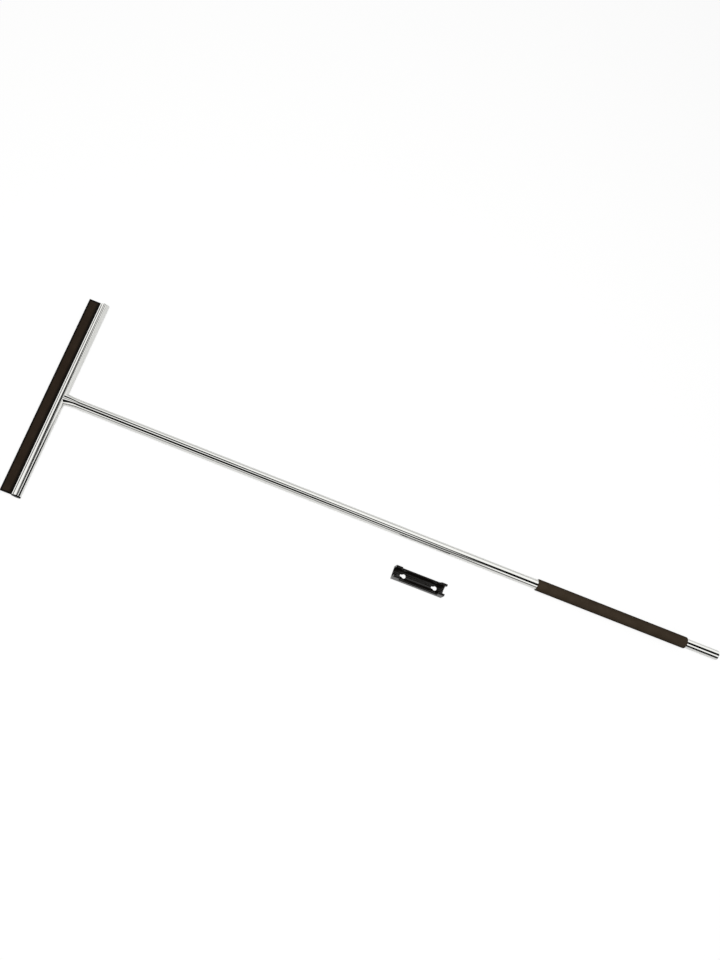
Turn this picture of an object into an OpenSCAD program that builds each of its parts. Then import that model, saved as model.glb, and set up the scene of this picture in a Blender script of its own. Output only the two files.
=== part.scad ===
// Floor squeegee with its wall clip, lying flat.
// +X runs from the head to the free end of the handle, +Y along the head, +Z up.
// The origin is under the middle of the whole, on the floor that it lies on.

/* [Head] */
// length of the chrome head
head_length = 332.8; // [200:0.1:500]
// outside diameter of the round back of the head
bulb_d = 13; // [11:0.1:16]
// wall of the round back
bulb_wall = 1; // [0.8:0.05:1.4]
// from the axis of the round back to the edge of its two lips
lip_reach = 8.3; // [7:0.1:14]
// thickness of each lip
lip_wall = 1; // [0.7:0.05:1.3]

/* [Blade strip] */
// from the edge of the lips to the working edge of the rubber
blade_width = 17.7; // [8:0.1:40]
// thickness of the rubber between the lips
blade_t = 3; // [2:0.1:4]
// thickness of the rubber at its working edge
blade_edge_t = 2.2; // [1:0.1:4]
// hole along the bead of the rubber
bead_hole_d = 3; // [2:0.1:4]
// depth of the plug and the button in the two ends of the round back
plug_t = 4; // [2:0.1:10]
// thickness of the button's rim, which covers the lower end of the head
rim_t = 0.8; // [0.4:0.1:3]
// length of the button's stem in the bead
plug_stem = 12; // [5:0.5:30]

/* [Neck] */
// from the axis of the round back to the end of the handle tube
neck_length = 26; // [20:0.5:40]
// width of the flare where it saddles the round back
neck_width = 20.8; // [17:0.1:26]
// height that the flare stands above the crest of the round back
neck_rise = 0.4; // [0.2:0.05:1]
// metal left between the round back and the pin of the spigot
neck_web = 4.5; // [2:0.1:8]
// diameter of the pin of the spigot, in the neck
spigot_pin_d = 9; // [5:0.1:10]
// length of the spigot in the tube
spigot_length = 32; // [15:0.5:80]

/* [Handle] */
// from the axis of the round back to the free end of the handle
handle_reach = 1132; // [600:1:1600]
// outside diameter of the handle tube
tube_d = 16; // [14:0.1:22]
// wall of the handle tube
tube_wall = 1.2; // [0.8:0.05:2]
// radius of the rounded edge of the end cap
cap_edge = 0.7; // [0.4:0.1:3]
// height of the low dome of the end cap above its rounded edge
cap_dome = 0.3; // [0.2:0.1:2]
// length of the end cap in the tube
cap_spigot = 14; // [6:0.5:40]

/* [Grip] */
// bare tube, with its cap, beyond the grip
bare_end = 59.5; // [20:0.5:150]
// length of the grip sleeve
grip_length = 270; // [100:1:350]
// wall of the grip sleeve
grip_wall = 1.7; // [1.5:0.05:6]
// radius of the rounded edges of the grip
grip_edge = 1.4; // [0.4:0.1:1.5]

/* [Wall clip] */
// length of the clip
clip_length = 87; // [75:0.5:140]
// wall beside the channel
clip_wall = 2.5; // [1.5:0.1:4]
// height of the wall above the axis of the tube
wall_rise = 0.9; // [0:0.1:2]
// plastic under the channel
clip_floor = 2; // [1.4:0.1:5]
// length of the two snap arms at each end
arm_length = 10.6; // [5:0.1:15]
// angle that the arms wrap above the axis of the tube
arm_wrap = 40; // [30:1:50]
// how far the outside of the arms leans toward the tube
arm_lean = 0.7; // [0:0.1:1]
// height of the lead-in above the wrap of the arms
lead_in = 4.7; // [1:0.1:8]
// how far the lead-in opens toward its top
lead_flare = 0.4; // [0:0.1:0.8]
// pitch of the two keyholes
keyhole_pitch = 53.6; // [40:0.1:58]
// diameter of the round part of the keyholes
keyhole_d = 6.8; // [5.5:0.1:8]
// width of the narrow part of the keyholes
keyslot_w = 3.6; // [2.5:0.1:4.5]
// from the middle of the round part to the middle of the round end of the slot
keyslot_run = 4.6; // [3.5:0.1:7]
// place of the clip along the handle, from the axis of the round back
clip_along = 617.5; // [300:0.5:700]
// place of the clip beside the handle, from the axis of the tube
clip_beside = 65.2; // [40:0.1:130]

/* [Clearances] */
// rubber to each lip
lip_gap = 0.1; // [0.05:0.01:0.25]
// bead and button to the inside of the round back
bead_gap = 0.25; // [0.1:0.01:0.4]
// plug and button to the rubber in the slot
web_gap = 1; // [0.3:0.1:2]
// rim of the button to the end of the head
rim_gap = 0.1; // [0.05:0.01:0.3]
// clip to the handle tube
snap_gap = 0.1; // [0.03:0.01:0.18]

/* [Hidden] */
$fn = 96;
// cuts run past the faces that they open by this much
past = 1;
// shapes that make up one solid run into each other by this much
weld = 0.5;
bulb_r = bulb_d / 2;
bore_r = bulb_r - bulb_wall;
bead_r = bore_r - bead_gap;
slot_h = blade_t + 2 * lip_gap;
lips_h = slot_h + 2 * lip_wall;
blade_reach = lip_reach + blade_width;
// the head with the button's rim is centred on the handle
head_top = (head_length + rim_gap + rim_t) / 2;
head_low = head_top - head_length;
bead_top = head_top - plug_t;
bead_low = head_low + plug_t;
tube_r = tube_d / 2;
tube_bore_r = tube_r - tube_wall;
tube_end = handle_reach - cap_edge - cap_dome;
spigot_pin_start = bulb_r + neck_web;
grip_r = tube_r + grip_wall;
grip_start = handle_reach - bare_end - grip_length;
// the thickest round piece carries the handle above the floor
axis_z = max(grip_r, bulb_r);
// the middle of the whole length lies over the origin
head_x = (blade_reach - handle_reach) / 2;
clip_bore_r = tube_r + snap_gap;
clip_outer_r = clip_bore_r + clip_wall;
clip_axis_z = clip_floor + clip_bore_r;
// the keyholes' round parts stand off the middle, so that the whole keyholes are centred
keyhole_shift = keyslot_run / 2;
neck_rings = 12;
neck_points = 48;

// carries a piece from the axes of the head to its place above the floor
module at_head() {
    translate([head_x, 0, axis_z]) children();
}

// a solid rod along X from a to b
module rod_x(a, b, r) {
    translate([a, 0, 0]) rotate([0, 90, 0]) cylinder(r = r, h = b - a);
}

// a solid rod along Y from a to b
module rod_y(a, b, r) {
    translate([0, a, 0]) rotate([-90, 0, 0]) cylinder(r = r, h = b - a);
}

// Chrome-plated brass profile: a slotted round back with two lips that hold the rubber.
module head_profile() {
    color([0.86, 0.87, 0.88]) at_head() difference() {
        union() {
            rod_y(head_low, head_top, bulb_r);
            translate([-lip_reach, head_low, -lips_h / 2])
                cube([lip_reach - bore_r + weld, head_length, lips_h]);
        }
        rod_y(head_low - past, head_top + past, bore_r);
        translate([-lip_reach - past, head_low - past, -slot_h / 2])
            cube([lip_reach + past, head_length + 2 * past, slot_h]);
    }
}

// half width and half height of the flare, where s is 1 at the head and 0 at the tube
function flare_w(s) = tube_r + (neck_width / 2 - tube_r) * s * s;
function flare_h(s) = tube_r + (bulb_r + neck_rise - tube_r) * s * s * (3 - 2 * s);

// points of the flare, ring by ring from the head to the tube
flare_points = [for (i = [0 : neck_rings]) for (k = [0 : neck_points - 1])
    let (s = 1 - i / neck_rings, a = 360 * k / neck_points)
    [neck_length * i / neck_rings, flare_w(s) * cos(a), flare_h(s) * sin(a)]];

// the flare's two ends and the bands between its rings
flare_faces = concat(
    [[for (k = [0 : neck_points - 1]) k]],
    [[for (k = [neck_points - 1 : -1 : 0]) neck_rings * neck_points + k]],
    [for (i = [0 : neck_rings - 1]) for (k = [0 : neck_points - 1])
        let (a = i * neck_points, b = a + neck_points, n = (k + 1) % neck_points)
        [a + k, b + k, b + n, a + n]]);

// Chrome-plated brass socket: saddles the round back and narrows to the handle tube.
module neck_socket() {
    color([0.86, 0.87, 0.88]) at_head() difference() {
        polyhedron(points = flare_points, faces = flare_faces);
        rod_y(-neck_width, neck_width, bulb_r);
        rod_x(spigot_pin_start, neck_length + past, spigot_pin_d / 2);
    }
}

// Brass spigot: its pin is soldered into the neck and its thick end into the tube.
module neck_spigot() {
    color([0.78, 0.66, 0.38]) at_head() union() {
        rod_x(spigot_pin_start, neck_length + weld, spigot_pin_d / 2);
        rod_x(neck_length, neck_length + spigot_length, tube_bore_r);
    }
}

// Chrome-plated tube: the handle in one length from the neck to the end cap.
module handle_tube() {
    color([0.86, 0.87, 0.88]) at_head() difference() {
        rod_x(neck_length, tube_end, tube_r);
        rod_x(neck_length - past, tube_end + past, tube_bore_r);
    }
}

// Soft brown-black sleeve pushed onto the tube, with rounded edges.
module grip_sleeve() {
    color([0.235, 0.2, 0.165]) at_head() translate([grip_start, 0, 0]) rotate([0, 90, 0]) rotate_extrude()
        polygon(concat(
            [[tube_r, 0]],
            [for (a = [-90 : 15 : 0])
                [grip_r - grip_edge + grip_edge * cos(a), grip_edge + grip_edge * sin(a)]],
            [for (a = [0 : 15 : 90])
                [grip_r - grip_edge + grip_edge * cos(a), grip_length - grip_edge + grip_edge * sin(a)]],
            [[tube_r, grip_length]]));
}

// Chrome-plated cap: closes the free end of the tube with a rounded edge and a low dome.
module handle_end_cap() {
    color([0.86, 0.87, 0.88]) at_head() translate([tube_end, 0, 0]) rotate([0, 90, 0]) rotate_extrude()
        polygon(concat(
            [[0, -cap_spigot], [tube_bore_r, -cap_spigot], [tube_bore_r, 0]],
            [for (a = [0 : 10 : 90]) [tube_r - cap_edge + cap_edge * cos(a), cap_edge * sin(a)]],
            [for (a = [80 : -20 : 0])
                [(tube_r - cap_edge) * sin(a), cap_edge + cap_dome * cos(a)]]));
}

// a disc across the bore of the round back from y = a to b, cut flat beside the rubber in the slot
module plug_disc(a, b, r) {
    intersection() {
        rod_y(a, b, r);
        translate([web_gap - bore_r, a, -bore_r]) cube([2 * bore_r, b - a, 2 * bore_r]);
    }
}

// Black plastic plug: pressed into the upper end of the round back, flush with it.
module head_plug() {
    color([0.05, 0.05, 0.05]) at_head() plug_disc(bead_top, head_top, bore_r);
}

// Rubber strip: a flat blade with a round hollow bead that slides in the round back.
module blade_strip() {
    color([0.176, 0.141, 0.11]) at_head() difference() {
        union() {
            rod_y(bead_low, bead_top - bead_gap, bead_r);
            translate([-bore_r - weld, bead_low, -blade_t / 2])
                cube([bore_r + weld, bead_top - bead_gap - bead_low, blade_t]);
            translate([0, head_top, 0]) rotate([90, 0, 0]) linear_extrude(height = head_length)
                polygon([[-bore_r, blade_t / 2], [-lip_reach, blade_t / 2], [-blade_reach, blade_edge_t / 2],
                         [-blade_reach, -blade_edge_t / 2], [-lip_reach, -blade_t / 2],
                         [-bore_r, -blade_t / 2]]);
        }
        rod_y(head_low - past, head_top + past, bead_hole_d / 2);
    }
}

// Black plastic button: its rim covers the lower end of the head, and its stem sits in the bead,
// so it leaves with the strip.
module strip_plug() {
    color([0.05, 0.05, 0.05]) at_head() union() {
        rod_y(-head_top, rim_t - head_top, bulb_r);
        translate([-lip_reach, -head_top, -lips_h / 2]) cube([lip_reach, rim_t, lips_h]);
        plug_disc(rim_t / 2 - head_top, bead_low, bead_r);
        rod_y(bead_low - weld, bead_low + plug_stem, bead_hole_d / 2);
    }
}

// one keyhole: a round hole for the head of a screw and a slot for its shank, toward the head
module keyhole() {
    translate([0, 0, -past]) {
        cylinder(d = keyhole_d, h = clip_axis_z + past);
        translate([-keyslot_run, 0, 0]) cylinder(d = keyslot_w, h = clip_axis_z + past);
        translate([-keyslot_run, -keyslot_w / 2, 0]) cube([keyslot_run, keyslot_w, clip_axis_z + past]);
    }
}

// section of one snap arm on the +Y side, seen along the tube and measured from its axis
module arm_section() {
    wrap_end = clip_bore_r * [cos(arm_wrap), sin(arm_wrap)];
    polygon([[clip_bore_r - weld, -weld], [clip_outer_r, -weld], [clip_outer_r, wall_rise],
             [clip_outer_r - arm_lean, wrap_end.y + lead_in], wrap_end + [lead_flare, lead_in], wrap_end]);
}

// Black plastic wall clip: a channel for the tube with two keyholes and two pairs of snap arms.
module wall_clip() {
    color([0.06, 0.06, 0.06]) translate([head_x + clip_along, -clip_beside, 0]) difference() {
        union() {
            translate([-clip_length / 2, -clip_outer_r, 0])
                cube([clip_length, 2 * clip_outer_r, clip_axis_z + wall_rise]);
            for (x = [-clip_length / 2, clip_length / 2 - arm_length]) for (side = [0, 1])
                translate([x, 0, clip_axis_z]) mirror([0, side, 0]) rotate([90, 0, 90])
                    linear_extrude(height = arm_length) arm_section();
        }
        translate([0, 0, clip_axis_z])
            rod_x(-clip_length / 2 - past, clip_length / 2 + past, clip_bore_r);
        for (side = [-1, 1]) translate([side * keyhole_pitch / 2 + keyhole_shift, 0, 0]) keyhole();
    }
}

head_profile();
neck_socket();
neck_spigot();
handle_tube();
grip_sleeve();
handle_end_cap();
head_plug();
blade_strip();
strip_plug();
wall_clip();
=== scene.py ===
import math
import bmesh
import bpy
from mathutils import Matrix, Vector


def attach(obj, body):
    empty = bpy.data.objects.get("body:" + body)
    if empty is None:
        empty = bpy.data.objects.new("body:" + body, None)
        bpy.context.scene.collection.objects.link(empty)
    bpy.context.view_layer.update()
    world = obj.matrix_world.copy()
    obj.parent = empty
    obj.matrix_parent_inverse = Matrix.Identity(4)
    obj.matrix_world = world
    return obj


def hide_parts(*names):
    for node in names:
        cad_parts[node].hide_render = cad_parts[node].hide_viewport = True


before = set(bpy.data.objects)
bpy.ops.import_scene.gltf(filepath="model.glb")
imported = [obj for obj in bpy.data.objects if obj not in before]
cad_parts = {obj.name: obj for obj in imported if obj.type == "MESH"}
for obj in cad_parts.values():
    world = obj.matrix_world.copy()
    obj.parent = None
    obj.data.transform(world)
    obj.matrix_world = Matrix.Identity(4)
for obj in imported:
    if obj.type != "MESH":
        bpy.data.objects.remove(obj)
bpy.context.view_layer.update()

# Head profile
# The bar of the T: a drawn brass profile with a slotted round back and two lips, chrome plated.
# It is cut to length, deburred and polished before plating, and the neck is brazed to its back.

MM = 0.001
HEAD_AXIS = Vector((-553.0, 0.0, 9.7))
HEAD_LOW = -165.95
HEAD_TOP = 166.85
HEAD_SEAT = 0.7
HEAD_DEBURR = 0.18
BULB_R = 6.5
BORE_R = 5.5
LIP_REACH = 7.5
LIP_TOP = 2.6
LIP_SLOPE = 24.0
LIP_ROUND = 0.22
LIP_FILLET = 0.5
SLOT_HALF = 1.6
HAIRLINE_LONG = 45.0
HAIRLINE_WIDE = 0.35
POLISH_WAVE = 5.0
PLATING_HAZE = 28.0
HAZE_DULLS = 0.03


def linear(colour):
    """The linear RGBA that shaders take, from an sRGB hex value."""
    parts = [int(colour[i:i + 2], 16) / 255 for i in (1, 3, 5)]
    return [c / 12.92 if c <= 0.04045 else ((c + 0.055) / 1.055) ** 2.4 for c in parts] + [1.0]


def put(tree, kind, inputs=None, **settings):
    """Adds a node with its settings; inputs give values or the sockets to link from."""
    new = tree.nodes.new(kind)
    for key, value in settings.items():
        setattr(new, key, value)
    for socket, value in (inputs or {}).items():
        if isinstance(value, bpy.types.NodeSocket):
            tree.links.new(value, new.inputs[socket])
        else:
            new.inputs[socket].default_value = value
    return new


def per_mm(size):
    """The pattern scale that makes a feature of a size in millimetres."""
    return 1.0 / (size * MM)


def arc(centre, radius, start, end, steps):
    """Points in a plane along an arc, angles in degrees."""
    turn = [math.radians(start + (end - start) * i / steps) for i in range(steps + 1)]
    return [(centre[0] + radius * math.cos(t), centre[1] + radius * math.sin(t)) for t in turn]


def new_piece(name, points, edges, faces):
    """A new object from points in millimetres."""
    mesh = bpy.data.meshes.new(name)
    mesh.from_pydata([Vector(p) * MM for p in points], edges, faces)
    piece = bpy.data.objects.new(name, mesh)
    bpy.context.scene.collection.objects.link(piece)
    return piece


def round_edges(piece, width, segments, above):
    """Rounds the edges that turn by more than an angle in degrees."""
    bevel = piece.modifiers.new("rounded_edges", "BEVEL")
    bevel.width = width * MM
    bevel.segments = segments
    bevel.limit_method = "ANGLE"
    bevel.angle_limit = math.radians(above)
    bevel.use_clamp_overlap = False


def turn_outwards(mesh):
    """Merges doubled points and turns every face of a closed mesh outwards."""
    shell = bmesh.new()
    shell.from_mesh(mesh)
    bmesh.ops.remove_doubles(shell, verts=shell.verts, dist=1e-7)
    bmesh.ops.recalc_face_normals(shell, faces=shell.faces)
    shell.to_mesh(mesh)
    shell.free()


def settle(piece, material, sharp_above):
    """Keeps what the modifiers make as a plain mesh, smooth but for edges above an angle."""
    shape = piece.evaluated_get(bpy.context.evaluated_depsgraph_get())
    mesh = bpy.data.meshes.new_from_object(shape)
    piece.modifiers.clear()
    piece.data = mesh
    turn_outwards(mesh)
    mesh.shade_smooth()
    mesh.set_sharp_from_angle(angle=math.radians(sharp_above))
    mesh.materials.clear()
    mesh.materials.append(material)


def new_material(name):
    """A new material with its node tree and its shader."""
    material = bpy.data.materials.new(name)
    material.use_nodes = True
    return material, material.node_tree, material.node_tree.nodes["Principled BSDF"]


def chrome(name, hairline):
    """Bright chrome over nickel: a cold mirror with a breath of warmth in its greys.

    Up close the eye finds a faint wave left by polishing, hairlines along the lay, and a thin haze
    that comes and goes. The hairlines are drawn coarser than the real ones so that they show.
    """
    material, tree, shader = new_material(name)
    shader.inputs["Metallic"].default_value = 1.0
    place = put(tree, "ShaderNodeTexCoord").outputs["Object"]
    lay = put(tree, "ShaderNodeMapping", {
        "Vector": place, "Scale": [per_mm(size) for size in hairline]})
    lines = put(tree, "ShaderNodeTexNoise", {
        "Vector": lay.outputs[0], "Scale": 1.0, "Detail": 3.0, "Roughness": 0.6})
    haze = put(tree, "ShaderNodeTexNoise", {
        "Vector": place, "Scale": per_mm(PLATING_HAZE), "Detail": 4.0})
    wave = put(tree, "ShaderNodeTexNoise", {
        "Vector": place, "Scale": per_mm(POLISH_WAVE), "Detail": 1.0})
    tint = put(tree, "ShaderNodeMix", {
        "Factor": haze.outputs[0], "A": linear("#EDEDEA"), "B": linear("#F5F5F3")},
        data_type="RGBA")
    tree.links.new(tint.outputs["Result"], shader.inputs["Base Color"])
    fine = put(tree, "ShaderNodeMapRange", {
        "Value": lines.outputs[0], "From Min": 0.35, "From Max": 0.75,
        "To Min": 0.03, "To Max": 0.075})
    soft = put(tree, "ShaderNodeMath", {0: haze.outputs[0], 1: HAZE_DULLS, 2: fine.outputs[0]},
               operation="MULTIPLY_ADD")
    tree.links.new(soft.outputs[0], shader.inputs["Roughness"])
    ripple = put(tree, "ShaderNodeBump", {
        "Height": wave.outputs[0], "Strength": 0.5, "Distance": 0.006 * MM})
    scored = put(tree, "ShaderNodeBump", {
        "Height": lines.outputs[0], "Normal": ripple.outputs[0],
        "Strength": 0.25, "Distance": 0.001 * MM})
    tree.links.new(scored.outputs[0], shader.inputs["Normal"])
    return material


def new_tree(name, sockets):
    """A Geometry Nodes tree with named inputs, and the node that gives them."""
    tree = bpy.data.node_groups.new(name, "GeometryNodeTree")
    for socket, kind in sockets.items():
        tree.interface.new_socket(socket, in_out="INPUT", socket_type=kind)
    tree.interface.new_socket("Geometry", in_out="OUTPUT", socket_type="NodeSocketGeometry")
    return tree, put(tree, "NodeGroupInput")


def end_tree(tree, given, shape):
    """Ends a tree: its seams are merged and the piece gets its material."""
    shut = put(tree, "GeometryNodeMergeByDistance", {"Geometry": shape, "Distance": 1e-6})
    real = put(tree, "GeometryNodeRealizeInstances", {"Geometry": shut.outputs[0]})
    coat = put(tree, "GeometryNodeSetMaterial", {
        "Geometry": real.outputs[0], "Material": given.outputs["Material"]})
    put(tree, "NodeGroupOutput", {"Geometry": coat.outputs[0]})


def section_sweep():
    """A tree that draws a flat section along Y from a start over a length, closed at both ends."""
    tree, given = new_tree("section_sweep", {
        "Section": "NodeSocketGeometry", "Start": "NodeSocketFloat",
        "Length": "NodeSocketFloat", "Material": "NodeSocketMaterial"})
    start = put(tree, "ShaderNodeCombineXYZ", {"Y": given.outputs["Start"]})
    near = put(tree, "GeometryNodeSetPosition", {
        "Geometry": given.outputs["Section"], "Offset": start.outputs[0]})
    way = put(tree, "ShaderNodeCombineXYZ", {"Y": 1.0})
    drawn = put(tree, "GeometryNodeExtrudeMesh", {
        "Mesh": near.outputs[0], "Offset": way.outputs[0],
        "Offset Scale": given.outputs["Length"], "Individual": False}, mode="FACES")
    back = put(tree, "GeometryNodeFlipFaces", {"Mesh": near.outputs[0]})
    whole = put(tree, "GeometryNodeJoinGeometry")
    tree.links.new(back.outputs[0], whole.inputs[0])
    tree.links.new(drawn.outputs["Mesh"], whole.inputs[0])
    end_tree(tree, given, whole.outputs[0])
    return tree


def grow(piece, tree, values):
    """Sets a Geometry Nodes tree on a piece with its named inputs."""
    modifier = piece.modifiers.new(tree.name, "NODES")
    modifier.node_group = tree
    for name, value in values.items():
        modifier[tree.interface.items_tree[name].identifier] = value


def outer_half():
    """The upper half of the section's outside: the round back, its fillet and the sloped lip."""
    fillet_z = LIP_TOP + LIP_FILLET
    fillet_x = -math.sqrt((BULB_R + LIP_FILLET) ** 2 - fillet_z ** 2)
    meet = math.degrees(math.atan2(fillet_z, fillet_x))
    back = arc((0, 0), BULB_R, 0, meet, 64)
    hollow = arc((fillet_x, fillet_z), LIP_FILLET, meet - 180, LIP_SLOPE - 90, 8)
    slope = math.radians(LIP_SLOPE)
    edge_x = LIP_ROUND - LIP_REACH
    fall = (hollow[-1][0] - edge_x + LIP_ROUND * math.sin(slope)) * math.tan(slope)
    edge_z = hollow[-1][1] - fall - LIP_ROUND * math.cos(slope)
    edge = arc((edge_x, edge_z), LIP_ROUND, 90 + LIP_SLOPE, 180, 6)
    return back + hollow[1:] + edge


def inner_half():
    """The upper half of the section's inside, from the lip's edge through the slot to the bore."""
    mouth = math.degrees(math.asin(SLOT_HALF / BORE_R))
    edge = arc((LIP_ROUND - LIP_REACH, SLOT_HALF + LIP_ROUND), LIP_ROUND, 180, 270, 6)
    return edge + arc((0, 0), BORE_R, 180 - mouth, 0, 28)


half_section = outer_half() + inner_half()
section = half_section + [(x, -z) for x, z in reversed(half_section[1:-1])]
head = new_piece("head_profile_chrome",
                 [HEAD_AXIS + Vector((x, 0, z)) for x, z in section], [], [range(len(section))])
head_chrome = chrome("chrome_plated_brass_head", (HAIRLINE_WIDE, HAIRLINE_LONG, HAIRLINE_WIDE))
head_start = HEAD_LOW + HEAD_SEAT
grow(head, section_sweep(), {
    "Start": head_start * MM, "Length": (HEAD_TOP - head_start) * MM, "Material": head_chrome})
round_edges(head, HEAD_DEBURR, segments=2, above=50)
settle(head, head_chrome, sharp_above=20)
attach(head, "squeegee")
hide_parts("head_profile")

# Neck socket
# A cast brass flare that saddles the round back and narrows to the tube, chrome plated.
# It is brazed to the head, and its bored end takes the pin of the spigot.

NECK_LENGTH = 26.0
NECK_HALF_WIDTH = 10.4
NECK_HALF_HEIGHT = 6.3
NECK_SIDES = 144
NECK_RINGS = 28
TUBE_R = 8.0
PIN_R = 4.5
PIN_START = 11.0
HALVINGS = 40


def flare(x, angle):
    """A point of the flare at a distance from the axis of the head, around the handle's axis."""
    s = 1 - x / NECK_LENGTH
    wide = TUBE_R + (NECK_HALF_WIDTH - TUBE_R) * s * s
    tall = TUBE_R + (NECK_HALF_HEIGHT - TUBE_R) * s * s * (3 - 2 * s)
    return Vector((x, wide * math.cos(angle), tall * math.sin(angle)))


def saddle_start(angle):
    """Where the flare meets the round back, or the crest where it passes over it."""
    low, high = 0.0, NECK_LENGTH
    for _ in range(HALVINGS):
        middle = (low + high) / 2
        point = flare(middle, angle)
        if point.x ** 2 + point.z ** 2 > BULB_R ** 2:
            high = middle
        else:
            low = middle
    return high


pin_hole = [(NECK_LENGTH, PIN_R), (PIN_START, PIN_R), (PIN_START, 0.0)]
neck_points = []
for k in range(NECK_SIDES):
    turn = 2 * math.pi * k / NECK_SIDES
    first = saddle_start(turn)
    neck_points += [flare(first + (NECK_LENGTH - first) * i / NECK_RINGS, turn)
                    for i in range(NECK_RINGS + 1)]
    neck_points += [Vector((x, r * math.cos(turn), r * math.sin(turn))) for x, r in pin_hole]
row = NECK_RINGS + 1 + len(pin_hole)
neck_faces = []
for k in range(NECK_SIDES):
    a, b = k * row, (k + 1) % NECK_SIDES * row
    neck_faces += [(a + i, b + i, b + i + 1, a + i + 1) for i in range(row - 1)]
for k in range(-NECK_SIDES // 4, NECK_SIDES // 4):
    facing = NECK_SIDES // 2 - k
    across = [i % NECK_SIDES for i in (k, k + 1, facing - 1, facing)]
    neck_faces.append([i * row for i in dict.fromkeys(across)])
neck = new_piece("neck_socket_chrome", [HEAD_AXIS + p for p in neck_points], [], neck_faces)
handle_chrome = chrome("chrome_plated_brass_handle", (HAIRLINE_LONG, HAIRLINE_WIDE, HAIRLINE_WIDE))
settle(neck, handle_chrome, sharp_above=35)
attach(neck, "squeegee")
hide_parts("neck_socket")

# Neck spigot
# A turned brass spigot, hidden inside the handle where neck and tube meet.
# Its pin is soldered into the neck and its thick end into the tube.

TURNING_RING = (0.2, 40.0, 40.0)
FLUX_PATCH = 6.0

# Bare brass from the lathe: a warm yellow with fine turning rings and dull patches of solder flux.
brass, tree, shader = new_material("turned_brass")
shader.inputs["Metallic"].default_value = 1.0
place = put(tree, "ShaderNodeTexCoord").outputs["Object"]
lay = put(tree, "ShaderNodeMapping", {
    "Vector": place, "Scale": [per_mm(size) for size in TURNING_RING]})
ringed = put(tree, "ShaderNodeTexNoise", {
    "Vector": lay.outputs[0], "Scale": 1.0, "Detail": 2.0})
dull = put(tree, "ShaderNodeTexNoise", {
    "Vector": place, "Scale": per_mm(FLUX_PATCH), "Detail": 3.0})
yellow = put(tree, "ShaderNodeMix", {
    "Factor": dull.outputs[0], "A": linear("#B8944A"), "B": linear("#D2B36A")}, data_type="RGBA")
tree.links.new(yellow.outputs["Result"], shader.inputs["Base Color"])
worn = put(tree, "ShaderNodeMapRange", {
    "Value": dull.outputs[0], "From Min": 0.3, "From Max": 0.7, "To Min": 0.22, "To Max": 0.42})
tree.links.new(worn.outputs[0], shader.inputs["Roughness"])
cut = put(tree, "ShaderNodeBump", {
    "Height": ringed.outputs[0], "Strength": 0.4, "Distance": 0.01 * MM})
tree.links.new(cut.outputs[0], shader.inputs["Normal"])
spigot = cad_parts["neck_spigot"]
spigot.data.materials.clear()
spigot.data.materials.append(brass)

# Handle tube
# One length of drawn brass tube, polished along its length and chrome plated.
# It is pushed over the spigot up to the neck and soldered, so no joint line shows.

TUBE_START = -527.0
TUBE_END = 578.0
TUBE_BORE_R = 6.8
TUBE_BREAK = 0.1
TURNED_SIDES = 144


def turned_piece():
    """A tree that turns a drawn contour about the X axis; the contour's Z is its radius."""
    tree, given = new_tree("turned_piece", {
        "Contour": "NodeSocketGeometry", "Sides": "NodeSocketInt",
        "Axis Height": "NodeSocketFloat", "Material": "NodeSocketMaterial"})
    count = put(tree, "GeometryNodeAttributeDomainSize", {"Geometry": given.outputs["Contour"]})
    columns = put(tree, "ShaderNodeMath", {0: given.outputs["Sides"], 1: 1.0}, operation="ADD")
    sheet = put(tree, "GeometryNodeMeshGrid", {
        "Vertices X": count.outputs["Point Count"], "Vertices Y": columns.outputs[0]})
    index = put(tree, "GeometryNodeInputIndex")
    share = put(tree, "ShaderNodeMath", {0: index.outputs[0], 1: columns.outputs[0]},
                operation="DIVIDE")
    step = put(tree, "ShaderNodeMath", {0: share.outputs[0]}, operation="FLOOR")
    side = put(tree, "ShaderNodeMath", {0: index.outputs[0], 1: columns.outputs[0]},
               operation="MODULO")
    part = put(tree, "ShaderNodeMath", {0: side.outputs[0], 1: given.outputs["Sides"]},
               operation="DIVIDE")
    angle = put(tree, "ShaderNodeMath", {0: part.outputs[0], 1: 2 * math.pi},
                operation="MULTIPLY")
    drawn = put(tree, "GeometryNodeSampleIndex", data_type="FLOAT_VECTOR", domain="POINT")
    tree.links.new(given.outputs["Contour"], drawn.inputs["Geometry"])
    tree.links.new(put(tree, "GeometryNodeInputPosition").outputs[0], drawn.inputs["Value"])
    tree.links.new(step.outputs[0], drawn.inputs["Index"])
    at = put(tree, "ShaderNodeSeparateXYZ", {0: drawn.outputs[0]})
    cosine = put(tree, "ShaderNodeMath", {0: angle.outputs[0]}, operation="COSINE")
    sine = put(tree, "ShaderNodeMath", {0: angle.outputs[0]}, operation="SINE")
    y = put(tree, "ShaderNodeMath", {0: at.outputs["Z"], 1: cosine.outputs[0]},
            operation="MULTIPLY")
    z = put(tree, "ShaderNodeMath", {
        0: at.outputs["Z"], 1: sine.outputs[0], 2: given.outputs["Axis Height"]},
        operation="MULTIPLY_ADD")
    spot = put(tree, "ShaderNodeCombineXYZ", {
        "X": at.outputs["X"], "Y": y.outputs[0], "Z": z.outputs[0]})
    spun = put(tree, "GeometryNodeSetPosition", {
        "Geometry": sheet.outputs["Mesh"], "Position": spot.outputs[0]})
    end_tree(tree, given, spun.outputs[0])
    return tree


def turn_contour(name, contour, material, sharp_above):
    """A round piece on the handle's axis from its contour of (x, radius) in millimetres."""
    points = [(x, 0.0, r) for x, r in contour]
    piece = new_piece(name, points, [(i, i + 1) for i in range(len(points) - 1)], [])
    grow(piece, turning, {
        "Sides": TURNED_SIDES, "Axis Height": HEAD_AXIS.z * MM, "Material": material})
    settle(piece, material, sharp_above)
    return piece


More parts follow.
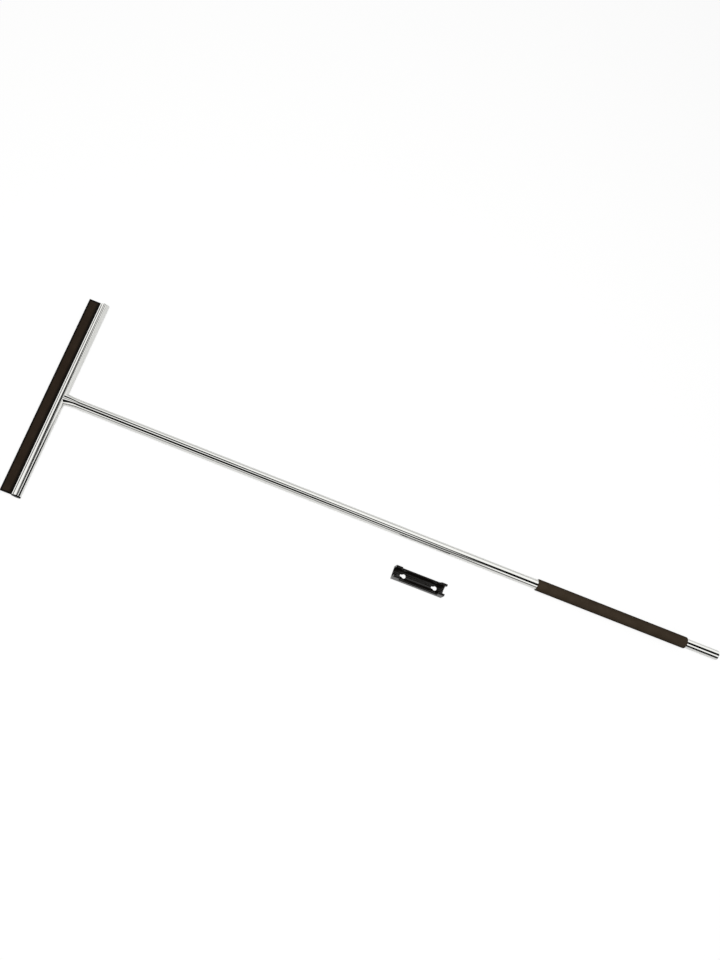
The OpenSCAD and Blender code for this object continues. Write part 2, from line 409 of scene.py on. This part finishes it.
turning = turned_piece()
tube_contour = [
    (TUBE_START, TUBE_BORE_R), (TUBE_START, TUBE_R), (TUBE_END - TUBE_BREAK, TUBE_R),
    (TUBE_END, TUBE_R - TUBE_BREAK), (TUBE_END, TUBE_BORE_R), (TUBE_START, TUBE_BORE_R)]
tube = turn_contour("handle_tube_chrome", tube_contour, handle_chrome, sharp_above=35)
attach(tube, "squeegee")
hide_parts("handle_tube")

# Handle end cap
# A turned brass cap with a rounded edge and a low dome, chrome plated like the tube.
# Its spigot is pressed into the free end of the tube.

CAP_EDGE = 0.7
CAP_EDGE_FROM = 4.0
CAP_DOME = 0.3
CAP_DOME_RINGS = 10
CAP_SPIGOT = 14.0
CAP_CHAMFER = 0.6
crown_r = TUBE_R - CAP_EDGE
spigot_end = TUBE_END - CAP_SPIGOT
cap_contour = [
    (spigot_end, 0.0), (spigot_end, TUBE_BORE_R - CAP_CHAMFER),
    (spigot_end + CAP_CHAMFER, TUBE_BORE_R), (TUBE_END, TUBE_BORE_R),
    (TUBE_END, TUBE_R - TUBE_BREAK)]
cap_contour += [(TUBE_END + out, r)
                for r, out in arc((crown_r, 0), CAP_EDGE, CAP_EDGE_FROM, 90, 14)]
dome_shares = [i / CAP_DOME_RINGS for i in range(CAP_DOME_RINGS - 1, -1, -1)]
cap_contour += [(TUBE_END + CAP_EDGE + CAP_DOME * (1 - share ** 2), crown_r * share)
                for share in dome_shares]
cap = turn_contour("handle_end_cap_chrome", cap_contour, handle_chrome, sharp_above=35)
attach(cap, "squeegee")
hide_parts("handle_end_cap")

# Grip sleeve
# A close-celled rubber foam sleeve, ground to size, with soft rounded ends.
# It is pushed onto the tube with air and holds by its own stretch.

GRIP_START = 249.5
GRIP_END = 519.5
GRIP_R = 9.7
GRIP_EDGE = 1.4
FOAM_PORE = 0.55
FOAM_GRAIN = 0.9
FOAM_MOTTLE = 14.0
GRINDING_RING = (0.8, 60.0, 60.0)
GRAIN_SHARE = 0.55
MOTTLE_SHARE = 0.45
rim_r = GRIP_R - GRIP_EDGE
near_rim = arc((rim_r, GRIP_START + GRIP_EDGE), GRIP_EDGE, -90, 0, 8)
far_rim = arc((rim_r, GRIP_END - GRIP_EDGE), GRIP_EDGE, 0, 90, 8)
barrel = [(GRIP_R, GRIP_START + 2 * GRIP_EDGE), (GRIP_R, GRIP_END - 2 * GRIP_EDGE)]
grip_contour = [(GRIP_START, TUBE_R)] + [(x, r) for r, x in near_rim + barrel + far_rim]
grip_contour += [(GRIP_END, TUBE_R), (GRIP_START, TUBE_R)]

# Ground rubber foam: flat brown-black with a fine open grain, a little dust in its pores and
# faint rings from grinding. The pores are drawn at about twice their size so that they show.
foam, tree, shader = new_material("ground_rubber_foam")
shader.inputs["Specular IOR Level"].default_value = 0.0
place = put(tree, "ShaderNodeTexCoord").outputs["Object"]
pores = put(tree, "ShaderNodeTexVoronoi", {"Vector": place, "Scale": per_mm(FOAM_PORE)})
grain = put(tree, "ShaderNodeTexNoise", {
    "Vector": place, "Scale": per_mm(FOAM_GRAIN), "Detail": 5.0})
mottle = put(tree, "ShaderNodeTexNoise", {
    "Vector": place, "Scale": per_mm(FOAM_MOTTLE), "Detail": 3.0})
lay = put(tree, "ShaderNodeMapping", {
    "Vector": place, "Scale": [per_mm(size) for size in GRINDING_RING]})
rings = put(tree, "ShaderNodeTexNoise", {
    "Vector": lay.outputs[0], "Scale": 1.0, "Detail": 2.0})
mixed = put(tree, "ShaderNodeMath", {0: grain.outputs[0], 1: GRAIN_SHARE}, operation="MULTIPLY")
mixed = put(tree, "ShaderNodeMath", {0: mottle.outputs[0], 1: MOTTLE_SHARE, 2: mixed.outputs[0]},
            operation="MULTIPLY_ADD")
shade = put(tree, "ShaderNodeMapRange", {
    "Value": mixed.outputs[0], "From Min": 0.3, "From Max": 0.7, "To Min": 0.0, "To Max": 1.0})
brown = put(tree, "ShaderNodeMix", {
    "Factor": shade.outputs[0], "A": linear("#372E24"), "B": linear("#473D33")}, data_type="RGBA")
tree.links.new(brown.outputs["Result"], shader.inputs["Base Color"])
rough = put(tree, "ShaderNodeMapRange", {
    "Value": grain.outputs[0], "From Min": 0.3, "From Max": 0.7, "To Min": 0.72, "To Max": 0.88})
tree.links.new(rough.outputs[0], shader.inputs["Roughness"])
pitted = put(tree, "ShaderNodeBump", {
    "Height": pores.outputs["Distance"], "Strength": 0.5, "Distance": 0.05 * MM})
ground = put(tree, "ShaderNodeBump", {
    "Height": rings.outputs[0], "Normal": pitted.outputs[0],
    "Strength": 0.3, "Distance": 0.04 * MM})
tree.links.new(ground.outputs[0], shader.inputs["Normal"])
grip = turn_contour("grip_sleeve_foam", grip_contour, foam, sharp_above=50)
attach(grip, "squeegee")
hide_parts("grip_sleeve")

# Head plug
# A small moulded plug that closes the upper end of the round back, flush with it.
# It is pressed into the bore and cut flat where the rubber passes.

PLUG_T = 4.0
PLUG_FLAT = -4.5
PLUG_EDGE = 0.35
# The dished face as shares of the plug's size, each with its depth.
PLUG_DISH = ((0.65, 0.45), (0.76, 0.05), (0.8, 0.0))
LEAD_SHARE = 0.96
LEAD_LENGTH = 0.2
PLASTIC_IOR = 1.49
PLASTIC_FLOW = 9.0


def disc_line(radius):
    """A circle cut flat beside the rubber, with one point toward each point of the head's line."""
    ways = [(x / math.hypot(x, z), z / math.hypot(x, z)) for x, z in head_line]
    reach = [min(radius, PLUG_FLAT / x) if x < 0 else radius for x, _ in ways]
    return [(x * r, z * r) for (x, z), r in zip(ways, reach)]


def stacked(name, levels):
    """A closed piece from lines about the head's axis, each with its share of size and its Y."""
    points, faces = [], []
    for line, share, y in levels:
        points += [HEAD_AXIS + Vector((x * share, y, z * share)) for x, z in line]
    size = len(head_line)
    for a in range(0, len(points) - size, size):
        b = a + size
        faces += [(a + i, a + (i + 1) % size, b + (i + 1) % size, b + i) for i in range(size)]
    faces += [range(size), range(len(points) - size, len(points))]
    return new_piece(name, points, [], faces)


def moulded(name, dark, light, shine, rough, grit):
    """Moulded black plastic: a deep black with a fine spark grain and slow changes of gloss."""
    material, tree, shader = new_material(name)
    shader.inputs["IOR"].default_value = PLASTIC_IOR
    shader.inputs["Specular IOR Level"].default_value = shine
    place = put(tree, "ShaderNodeTexCoord").outputs["Object"]
    sparks = put(tree, "ShaderNodeTexNoise", {
        "Vector": place, "Scale": per_mm(grit), "Detail": 3.0})
    flow = put(tree, "ShaderNodeTexNoise", {
        "Vector": place, "Scale": per_mm(PLASTIC_FLOW), "Detail": 3.0})
    black = put(tree, "ShaderNodeMix", {
        "Factor": flow.outputs[0], "A": linear(dark), "B": linear(light)}, data_type="RGBA")
    tree.links.new(black.outputs["Result"], shader.inputs["Base Color"])
    gloss = put(tree, "ShaderNodeMapRange", {
        "Value": flow.outputs[0], "From Min": 0.3, "From Max": 0.7,
        "To Min": rough - 0.05, "To Max": rough + 0.06})
    tree.links.new(gloss.outputs[0], shader.inputs["Roughness"])
    eroded = put(tree, "ShaderNodeBump", {
        "Height": sparks.outputs[0], "Strength": 0.35, "Distance": 0.012 * MM})
    tree.links.new(eroded.outputs[0], shader.inputs["Normal"])
    return material


plug_plastic = moulded("moulded_polypropylene_black", "#0A0908", "#141210",
                       shine=0.1, rough=0.5, grit=0.35)
head_line = outer_half()
head_line += [(x, -z) for x, z in reversed(head_line[1:])]
bore_disc = disc_line(BORE_R)
plug_end = HEAD_TOP - PLUG_T
plug_levels = [(bore_disc, share, HEAD_TOP - depth) for share, depth in PLUG_DISH]
plug_levels += [(bore_disc, 1 - (PLUG_EDGE - out) / BORE_R, HEAD_TOP - PLUG_EDGE + along)
                for out, along in arc((0, 0), PLUG_EDGE, 90, 0, 4)]
plug_levels += [(bore_disc, 1.0, plug_end + LEAD_LENGTH), (bore_disc, LEAD_SHARE, plug_end)]
head_plug = stacked("head_plug_plastic", plug_levels)
settle(head_plug, plug_plastic, sharp_above=40)
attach(head_plug, "squeegee")
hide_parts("head_plug")

# Blade strip
# A brown-black rubber strip: a flat blade, a little thinner at its edge, on a round hollow bead.
# It is extruded and cut to length, and the bead slides in the round back of the head.

BEAD_R = 5.25
BEAD_HOLE_R = 1.5
BLADE_T = 3.0
BLADE_EDGE_T = 2.2
BLADE_REACH = 26.0
BLADE_EDGE_ROUND = 0.2
BLADE_ROOT = -5.5
PLUG_CLEAR = 0.25
BLADE_Y = (HEAD_LOW, HEAD_LOW + PLUG_T, HEAD_TOP - PLUG_T - PLUG_CLEAR, HEAD_TOP)
DIE_LINE = (0.5, 80.0, 0.5)
RUBBER_BLOOM = 18.0
RUBBER_SPECK = 0.6
BLOOM_SHARE = 0.6
SPECK_SHARE = 0.4

edge_x = BLADE_EDGE_ROUND - BLADE_REACH
upper_blade = [(BLADE_ROOT, BLADE_T / 2), (-LIP_REACH, BLADE_T / 2)]
upper_blade += arc((edge_x, BLADE_EDGE_T / 2 - BLADE_EDGE_ROUND), BLADE_EDGE_ROUND, 90, 180, 4)
blade_line = upper_blade + [(x, -z) for x, z in reversed(upper_blade)]
web = math.degrees(math.asin(BLADE_T / 2 / BEAD_R))
bead_line = arc((0, 0), BEAD_R, 180 + web, 540 - web, 72)
hole_line = arc((0, 0), BEAD_HOLE_R, 0, 360, 32)[:-1]

strip = bmesh.new()


def strip_ring(line, y):
    """New corners of the strip along a line of its section."""
    return [strip.verts.new((HEAD_AXIS + Vector((x, y, z))) * MM) for x, z in line]


def band(shape, first, second):
    """Faces between two rows of corners."""
    for i in range(len(first) - 1):
        shape.faces.new((first[i], first[i + 1], second[i + 1], second[i]))


blades = [strip_ring(blade_line, y) for y in BLADE_Y]
beads = [[blades[s][-1]] + strip_ring(bead_line, BLADE_Y[s]) + [blades[s][0]] for s in (1, 2)]
holes = [strip_ring(hole_line, BLADE_Y[s]) for s in (1, 2)]
for s in range(3):
    band(strip, blades[s], blades[s + 1])
band(strip, *beads)
band(strip, *[hole + hole[:1] for hole in holes])
for a, b in ((0, 1), (3, 2)):
    strip.faces.new(blades[a])
    strip.faces.new((blades[a][0], blades[a][-1], blades[b][-1], blades[b][0]))
for bead, hole in zip(beads, holes):
    rim = [strip.edges.get(pair) or strip.edges.new(pair)
           for pair in zip(bead, bead[1:] + bead[:1])]
    rim += [strip.edges.get(pair) for pair in zip(hole, hole[1:] + hole[:1])]
    bmesh.ops.triangle_fill(strip, use_beauty=True, use_dissolve=False, edges=rim)
blade = new_piece("blade_strip_rubber", [], [], [])
strip.to_mesh(blade.data)
strip.free()

# Extruded rubber: a flat brown-black skin with a faint bloom, hairlines along its length from the
# die, a blacker band along the free edge and both ends, and painted shade beside the lips.
rubber, tree, shader = new_material("extruded_rubber")
shader.inputs["Specular IOR Level"].default_value = 0.1
place = put(tree, "ShaderNodeTexCoord").outputs["Object"]
lay = put(tree, "ShaderNodeMapping", {
    "Vector": place, "Scale": [per_mm(size) for size in DIE_LINE]})
die = put(tree, "ShaderNodeTexNoise", {"Vector": lay.outputs[0], "Scale": 1.0, "Detail": 3.0})
bloom = put(tree, "ShaderNodeTexNoise", {
    "Vector": place, "Scale": per_mm(RUBBER_BLOOM), "Detail": 4.0})
speck = put(tree, "ShaderNodeTexNoise", {
    "Vector": place, "Scale": per_mm(RUBBER_SPECK), "Detail": 2.0})
mixed = put(tree, "ShaderNodeMath", {0: bloom.outputs[0], 1: BLOOM_SHARE}, operation="MULTIPLY")
mixed = put(tree, "ShaderNodeMath", {0: speck.outputs[0], 1: SPECK_SHARE, 2: mixed.outputs[0]},
            operation="MULTIPLY_ADD")
shade = put(tree, "ShaderNodeMapRange", {
    "Value": mixed.outputs[0], "From Min": 0.3, "From Max": 0.7, "To Min": 0.0, "To Max": 1.0})
skin = put(tree, "ShaderNodeMix", {
    "Factor": shade.outputs[0], "A": linear("#261D15"), "B": linear("#31271E")}, data_type="RGBA")
spot = put(tree, "ShaderNodeSeparateXYZ", {0: place})
middle_y, half_y = (HEAD_LOW + HEAD_TOP) / 2 * MM, (HEAD_TOP - HEAD_LOW) / 2 * MM
off = put(tree, "ShaderNodeMath", {0: spot.outputs["Y"], 1: middle_y}, operation="SUBTRACT")
off = put(tree, "ShaderNodeMath", {0: off.outputs[0]}, operation="ABSOLUTE")
from_ends = put(tree, "ShaderNodeMath", {0: half_y, 1: off.outputs[0]}, operation="SUBTRACT")
from_edge = put(tree, "ShaderNodeMath", {
    0: spot.outputs["X"], 1: (HEAD_AXIS.x - BLADE_REACH) * MM}, operation="SUBTRACT")
from_lips = put(tree, "ShaderNodeMath", {
    0: (HEAD_AXIS.x - LIP_REACH) * MM, 1: spot.outputs["X"]}, operation="SUBTRACT")
from_cut = put(tree, "ShaderNodeMath", {0: from_ends.outputs[0], 1: from_edge.outputs[0]},
               operation="MINIMUM")
# A darker band along the free edge and both ends, fading out inwards.
cut = put(tree, "ShaderNodeMapRange", {
    "Value": from_cut.outputs[0], "From Min": 1.6 * MM, "From Max": 3.6 * MM,
    "To Min": 1.0, "To Max": 0.0}, interpolation_type="SMOOTHSTEP")
# Painted shade: darker beside the lips and fading out over the blade, standing in for the lips'
# shadow.
lip_shade = put(tree, "ShaderNodeMapRange", {
    "Value": from_lips.outputs[0], "From Min": 1.5 * MM, "From Max": 7.5 * MM,
    "To Min": 1.0, "To Max": 0.0}, interpolation_type="SMOOTHSTEP")
# The darker edge band and the painted shade by the lips, whichever is stronger, blacken the skin.
edge_band_and_lip_shade = put(tree, "ShaderNodeMath", {0: cut.outputs[0], 1: lip_shade.outputs[0]},
              operation="MAXIMUM")
coat = put(tree, "ShaderNodeMix", {
    "Factor": edge_band_and_lip_shade.outputs[0], "A": skin.outputs["Result"], "B": linear("#0B0806")},
    data_type="RGBA")
tree.links.new(coat.outputs["Result"], shader.inputs["Base Color"])
rough = put(tree, "ShaderNodeMapRange", {
    "Value": die.outputs[0], "From Min": 0.3, "From Max": 0.7, "To Min": 0.55, "To Max": 0.7})
tree.links.new(rough.outputs[0], shader.inputs["Roughness"])
drawn = put(tree, "ShaderNodeBump", {
    "Height": die.outputs[0], "Strength": 0.4, "Distance": 0.02 * MM})
tree.links.new(drawn.outputs[0], shader.inputs["Normal"])
settle(blade, rubber, sharp_above=15)
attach(blade, "blade")
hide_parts("blade_strip")

# Strip plug
# The button that covers the lower end of the head: the same plastic as the plug, with a stem.
# The stem is pushed into the hollow bead, so the button leaves the head with the strip.

RIM_PROUD = 0.9
RIM_GAP = 0.1
RIM_EDGE = 0.25
RIM_BREAK = 0.1
RIM_BREAK_SHARE = 0.985
# The dished face as shares of the rim's size, each with its depth.
RIM_DISH = ((0.5, 0.2), (0.7, 0.03), (0.78, 0.0))
STEM_LENGTH = 12.0
STEM_TAPER = 0.5
STEM_TIP_SHARE = 0.65
rim_back = head_start - RIM_GAP
rim_face = HEAD_LOW - RIM_PROUD
bead_end = HEAD_LOW + PLUG_T
stem_end = bead_end + STEM_LENGTH
bead_disc = disc_line(BEAD_R)
stem_disc = disc_line(BEAD_HOLE_R)
button_levels = [(head_line, share, rim_face + depth) for share, depth in RIM_DISH]
button_levels += [(head_line, 1 - (RIM_EDGE - out) / BULB_R, rim_face + RIM_EDGE - along)
                  for out, along in arc((0, 0), RIM_EDGE, 90, 0, 4)]
button_levels += [
    (head_line, 1.0, rim_back - RIM_BREAK), (head_line, RIM_BREAK_SHARE, rim_back),
    (bead_disc, 1.0, rim_back), (bead_disc, 1.0, bead_end - LEAD_LENGTH),
    (bead_disc, LEAD_SHARE, bead_end), (stem_disc, 1.0, bead_end),
    (stem_disc, 1.0, stem_end - STEM_TAPER), (stem_disc, STEM_TIP_SHARE, stem_end)]
strip_plug = stacked("strip_plug_plastic", button_levels)
settle(strip_plug, plug_plastic, sharp_above=40)
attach(strip_plug, "blade")
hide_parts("strip_plug")

# Wall clip
# A moulded clip that holds the handle on a wall: a channel with two keyholes in its floor and a
# pair of snap arms at each end. It is hung on two screws; here it lies on its back, loose.

CLIP_AT = Vector((64.5, -65.2, 10.1))
CLIP_HALF = 43.5
CLIP_BORE_R = 8.1
CLIP_SIDE = 10.6
CLIP_ROUND = 0.3
WALL_RISE = 0.9
RIM_OUT = 1.0
RIM_IN = 0.4
FOOT_ROUND = 0.8
ARM_LENGTH = 10.6
ARM_WRAP = 40.0
ARM_LEAN = 0.7
ARM_ROUND = 0.7
LEAD_IN = 4.7
LEAD_FLARE = 0.4
KEYHOLE_X = (40.0, 93.6)
KEYHOLE_R = 3.4
KEYSLOT_R = 1.8
KEYSLOT_RUN = 4.6
PUNCH_LOW = -1.0


def eased(before, corner, after, cut, steps):
    """Points of a soft corner that leaves and meets its two sides at a distance from the corner."""
    corner = Vector(corner)
    first = corner + (Vector(before) - corner).normalized() * cut
    last = corner + (Vector(after) - corner).normalized() * cut
    shares = [i / steps for i in range(steps + 1)]
    return [tuple(first.lerp(corner, t).lerp(corner.lerp(last, t), t)) for t in shares]


mouth = math.degrees(math.asin((WALL_RISE - RIM_IN) / CLIP_BORE_R))
channel_line = arc((0, 0), CLIP_BORE_R, 180 - mouth, 360 + mouth, 64)
rim_line = arc((channel_line[-1][0] + RIM_IN, WALL_RISE - RIM_IN), RIM_IN, 180, 90, 8)
rim_line += arc((CLIP_SIDE - RIM_OUT, WALL_RISE - RIM_OUT), RIM_OUT, 90, 0, 8)
arm_line = arc((0, 0), CLIP_BORE_R, mouth, ARM_WRAP, 10)
wrap_end = arm_line[-1]
arm_top = wrap_end[1] + LEAD_IN
inner_top, outer_top = (wrap_end[0] + LEAD_FLARE, arm_top), (CLIP_SIDE - ARM_LEAN, arm_top)
wall_top = (CLIP_SIDE, WALL_RISE)
arm_line += eased(wrap_end, inner_top, outer_top, ARM_ROUND, 10)
arm_line += eased(inner_top, outer_top, wall_top, ARM_ROUND, 10) + [wall_top, rim_line[-1]]
foot = (CLIP_SIDE, -CLIP_AT.z)
half_shell = [rim_line[-1]] + eased(rim_line[-1], foot, (0, -CLIP_AT.z), FOOT_ROUND, 16)
shell_line = half_shell + [(-y, z) for y, z in reversed(half_shell)]
spans = (-CLIP_HALF, -CLIP_HALF + ARM_LENGTH, CLIP_HALF - ARM_LENGTH, CLIP_HALF)

body = bmesh.new()


def clip_ring(line, x):
    """New corners of the clip along a line of its section."""
    return [body.verts.new((CLIP_AT + Vector((x, y, z))) * MM) for y, z in line]


shells = [clip_ring(shell_line, x) for x in spans]
channels = [clip_ring(channel_line, x) for x in spans]
sides = []
for side, at_channel, at_shell in ((1, -1, 0), (-1, 0, -1)):
    runs = {}
    for name, line in (("arm", arm_line), ("rim", rim_line)):
        inner = [(side * y, z) for y, z in line[1:-1]]
        runs[name] = [[channels[s][at_channel]] + clip_ring(inner, x) + [shells[s][at_shell]]
                      for s, x in enumerate(spans) if name == "arm" or s in (1, 2)]
    sides.append(runs)
for s in range(3):
    band(body, shells[s], shells[s + 1])
    band(body, channels[s], channels[s + 1])
for runs in sides:
    band(body, runs["arm"][0], runs["arm"][1])
    band(body, runs["rim"][0], runs["rim"][1])
    band(body, runs["arm"][2], runs["arm"][3])
    for s in (0, 1):
        body.faces.new(runs["arm"][s + 1] + runs["rim"][s][-2:0:-1])
for s in (0, 3):
    right, left = sides[0]["arm"][s], sides[1]["arm"][s]
    body.faces.new(channels[s] + right[1:-1] + shells[s] + left[-2:0:-1])
clip = new_piece("wall_clip_plastic", [], [], [])
body.to_mesh(clip.data)
body.free()
turn_outwards(clip.data)

reach = math.sqrt(KEYHOLE_R ** 2 - KEYSLOT_R ** 2)
shoulder = math.degrees(math.atan2(KEYSLOT_R, -reach))
keyhole = arc((0, 0), KEYHOLE_R, -shoulder, shoulder, 40)
keyhole += arc((-KEYSLOT_RUN, 0), KEYSLOT_R, 90, 270, 20)
size = len(keyhole)
punch_points, punch_faces = [], []
for hole_x in KEYHOLE_X:
    low = len(punch_points)
    high = low + size
    for z in (PUNCH_LOW, CLIP_AT.z):
        punch_points += [(hole_x + x, CLIP_AT.y + y, z) for x, y in keyhole]
    punch_faces += [range(low, high), range(high, high + size)]
    punch_faces += [(low + i, low + (i + 1) % size, high + (i + 1) % size, high + i)
                    for i in range(size)]
punch = new_piece("keyhole_punch", punch_points, [], punch_faces)
turn_outwards(punch.data)
pierce = clip.modifiers.new("keyholes", "BOOLEAN")
pierce.operation = "DIFFERENCE"
pierce.solver = "EXACT"
pierce.object = punch
round_edges(clip, CLIP_ROUND, segments=3, above=35)
clip_plastic = moulded("moulded_abs_black_half_gloss", "#0A0807", "#14110E",
                       shine=0.5, rough=0.22, grit=0.5)
settle(clip, clip_plastic, sharp_above=14)
bpy.data.objects.remove(punch)
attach(clip, "clip")
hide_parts("wall_clip")

# Floor
# A plain pale studio floor of matt white paper under the squeegee and its clip.
# It lies a hair below them and is shown as white as the photograph's ground.

FLOOR_HALF = 6.0
FLOOR_Z = -0.0003
FLOOR_LIFT = 0.8
floor_mesh = bpy.data.meshes.new("studio_floor")
floor_mesh.from_pydata([(x * FLOOR_HALF, y * FLOOR_HALF, FLOOR_Z)
                        for x, y in ((-1, -1), (1, -1), (1, 1), (-1, 1))], [], [(0, 1, 2, 3)])
floor = bpy.data.objects.new("studio_floor", floor_mesh)
bpy.context.scene.collection.objects.link(floor)

# Matt paper: seen straight on it is white with a faint shadow, and metal shows it as its light
# leaves it, a little greyer.
paper, tree, shader = new_material("white_paper_floor")
shader.inputs["Roughness"].default_value = 0.95
shader.inputs["Specular IOR Level"].default_value = 0.0
shader.inputs["Emission Color"].default_value = linear("#FFFFFF")
rays = put(tree, "ShaderNodeLightPath")
shown = put(tree, "ShaderNodeMath", {
    0: rays.outputs["Is Camera Ray"], 1: rays.outputs["Is Transmission Ray"]}, operation="MAXIMUM")
lift = put(tree, "ShaderNodeMath", {0: shown.outputs[0], 1: FLOOR_LIFT}, operation="MULTIPLY")
tree.links.new(lift.outputs[0], shader.inputs["Emission Strength"])
tone = put(tree, "ShaderNodeMix", {
    "Factor": rays.outputs["Is Glossy Ray"], "A": linear("#8A8A8A"), "B": linear("#EDEDED")},
    data_type="RGBA")
tree.links.new(tone.outputs["Result"], shader.inputs["Base Color"])
floor_mesh.materials.append(paper)

# Studio light
# A white tent all round with a few dark gaps overhead between its panels, which draw the dark
# lines in the chrome, and one large soft lamp beside the camera.

TENT_LIGHT = 0.3
TENT_SHINE = 1.06
TENT_TINT = (1.0, 1.0, 0.985, 1.0)
# Each gap: from and to in X and Y of the direction, half width, soft edge, brightness.
GAPS = (
    (-0.45, 0.75, -0.25, 0.59, 0.14, 0.07, 0.0),
    (-0.17, 0.53, 0.06, 0.17, 0.11, 0.07, 0.0),
    (0.06, 0.17, 0.21, 0.02, 0.13, 0.07, 0.0),
    (-0.30, -0.30, -0.11, -0.43, 0.25, 0.10, 0.0),
    (-0.11, -0.43, -0.02, -0.58, 0.20, 0.10, 0.0),
    (-0.02, -0.58, 0.05, -0.62, 0.165, 0.10, 0.0),
    (0.17, -0.73, 0.17, -0.49, 0.07, 0.05, 0.0),
    (0.21, -0.38, 0.21, 0.08, 0.03, 0.04, 0.65),
    (0.29, -0.47, 0.29, 0.19, 0.065, 0.03, 0.0),
    (0.45, -0.16, 0.45, 0.50, 0.04, 0.03, 0.0),
    (0.45, -0.64, 0.45, -0.86, 0.04, 0.03, 0.0),
    (-0.30, -0.96, 0.35, -0.95, 0.05, 0.05, 0.2),
    (0.24, -0.91, 0.36, -0.89, 0.05, 0.05, 0.2),
    (-0.30, 0.97, 0.46, 0.95, 0.06, 0.06, 0.5),
    (0.05, 0.14, -0.20, 0.20, 0.045, 0.05, 0.7),
    (-0.20, 0.20, -0.60, 0.29, 0.075, 0.06, 0.0),
    (-0.60, 0.29, -0.62, 0.36, 0.09, 0.07, 0.0),
    (0.82, 0.0, 1.0, 0.0, 0.225, 0.03, 0.0),
    (0.52, 0.42, 1.0, 0.36, 0.14, 0.12, 0.7),
    (-0.86, 0.10, -0.86, 0.36, 0.05, 0.04, 0.95),
)
KEY_AT = Vector((-0.15, -0.35, 2.2))
KEY_SIZE = 1.2
KEY_POWER = 33.0

world = bpy.data.worlds.new("studio_tent")
bpy.context.scene.world = world
world.use_nodes = True
tree = world.node_tree
sky = tree.nodes["Background"]
sky.inputs["Color"].default_value = TENT_TINT
way = put(tree, "ShaderNodeTexCoord").outputs["Generated"]
parts = put(tree, "ShaderNodeSeparateXYZ", {0: way})
flat = put(tree, "ShaderNodeCombineXYZ", {"X": parts.outputs["X"], "Y": parts.outputs["Y"]})
glow = TENT_SHINE
for x0, y0, x1, y1, half, edge, dim in GAPS:
    run = Vector((x1 - x0, y1 - y0, 0.0))
    start = put(tree, "ShaderNodeVectorMath", {0: flat.outputs[0], 1: (x0, y0, 0.0)},
                operation="SUBTRACT")
    along = put(tree, "ShaderNodeVectorMath", {0: start.outputs[0], 1: run / run.length_squared},
                operation="DOT_PRODUCT")
    held = put(tree, "ShaderNodeClamp", {"Value": along.outputs["Value"]})
    nearest = put(tree, "ShaderNodeVectorMath", {0: run, "Scale": held.outputs[0]},
                  operation="SCALE")
    off = put(tree, "ShaderNodeVectorMath", {0: start.outputs[0], 1: nearest.outputs[0]},
              operation="DISTANCE")
    gap = put(tree, "ShaderNodeMapRange", {
        "Value": off.outputs["Value"], "From Min": half - edge / 2, "From Max": half + edge / 2,
        "To Min": dim, "To Max": 1.0}, interpolation_type="SMOOTHSTEP")
    glow = put(tree, "ShaderNodeMath", {0: glow, 1: gap.outputs[0]},
               operation="MULTIPLY").outputs[0]
rays = put(tree, "ShaderNodeLightPath")
shown = put(tree, "ShaderNodeMath", {
    0: rays.outputs["Is Camera Ray"], 1: rays.outputs["Is Transmission Ray"]}, operation="MAXIMUM")
plain = put(tree, "ShaderNodeMix", {
    "Factor": shown.outputs[0], "A": TENT_LIGHT, "B": 1.0}, data_type="FLOAT")
level = put(tree, "ShaderNodeMix", {
    "Factor": rays.outputs["Is Glossy Ray"], "A": plain.outputs["Result"], "B": glow},
    data_type="FLOAT")
tree.links.new(level.outputs["Result"], sky.inputs["Strength"])

key = bpy.data.lights.new("soft_key", "AREA")
key.shape = "RECTANGLE"
key.size = KEY_SIZE
key.size_y = KEY_SIZE
key.energy = KEY_POWER
key_lamp = bpy.data.objects.new("soft_key", key)
key_lamp.location = KEY_AT
key_lamp.rotation_euler = (-KEY_AT).to_track_quat("-Z", "Y").to_euler()
key_lamp.visible_glossy = False
bpy.context.scene.collection.objects.link(key_lamp)

# Camera
# The photograph's own place: high above the floor, nearer the head than the free end, and off to
# the side that the clip lies on.

CAMERA_AT = Vector((-0.2474, -0.4018, 1.53185))
CAMERA_RIGHT = Vector((0.9242, 0.3252, 0.2000))
CAMERA_AHEAD = Vector((0.1057, 0.2853, -0.9526))
LENS_LENGTH = 50.0
SENSOR_WIDTH = 36.0
right = CAMERA_RIGHT.normalized()
ahead = (CAMERA_AHEAD - right * CAMERA_AHEAD.dot(right)).normalized()
up = right.cross(ahead)
lens = bpy.data.cameras.new("camera")
lens.sensor_fit = "HORIZONTAL"
lens.sensor_width = SENSOR_WIDTH
lens.lens = LENS_LENGTH
lens.clip_start = 0.01
camera = bpy.data.objects.new("camera", lens)
turned = Matrix((right, up, -ahead)).transposed().to_4x4()
turned.translation = CAMERA_AT
camera.matrix_world = turned
bpy.context.scene.collection.objects.link(camera)
bpy.context.scene.camera = camera
bpy.context.scene.view_settings.view_transform = "Standard"
